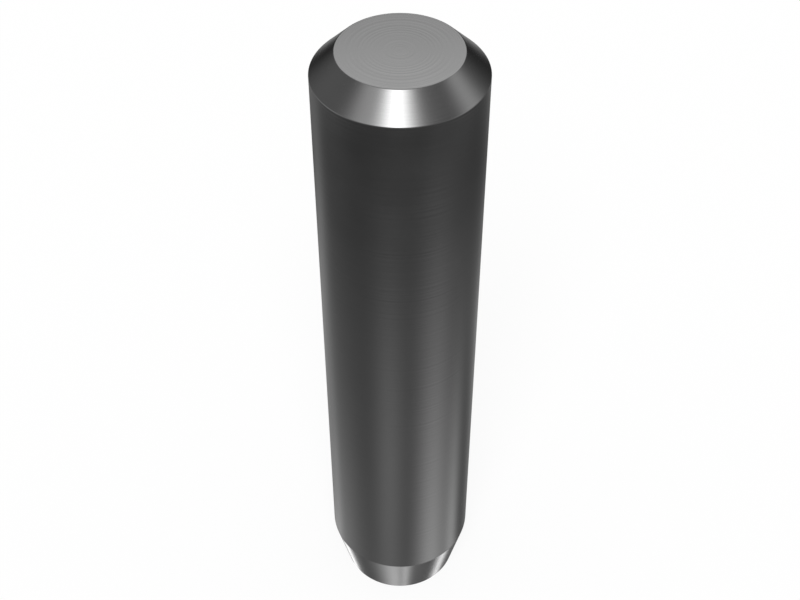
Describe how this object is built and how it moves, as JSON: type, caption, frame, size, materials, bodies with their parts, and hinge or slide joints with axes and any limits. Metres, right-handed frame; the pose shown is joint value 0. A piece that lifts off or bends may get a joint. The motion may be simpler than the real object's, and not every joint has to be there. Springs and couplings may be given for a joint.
{
  "type": "taperlock stud",
  "caption": "Smooth round steel stud with a straight barrel, a slim tapered foot that leads it into its hole, and a broad bevel round a flat head face.",
  "frame": {"origin": "centre of the foot's flat face, on the surface that the stud stands on", "axes": "+Z along the stud's axis, from the tapered foot to the bevelled head; X and Y are alike, because the stud is round"},
  "size_m": [0.012, 0.012, 0.055],
  "materials": {
    "steel": "turned steel, blackened, semi-bright and dark grey"
  },
  "bodies": {
    "root": {"stud": "steel"}
  },
  "joints": []
}
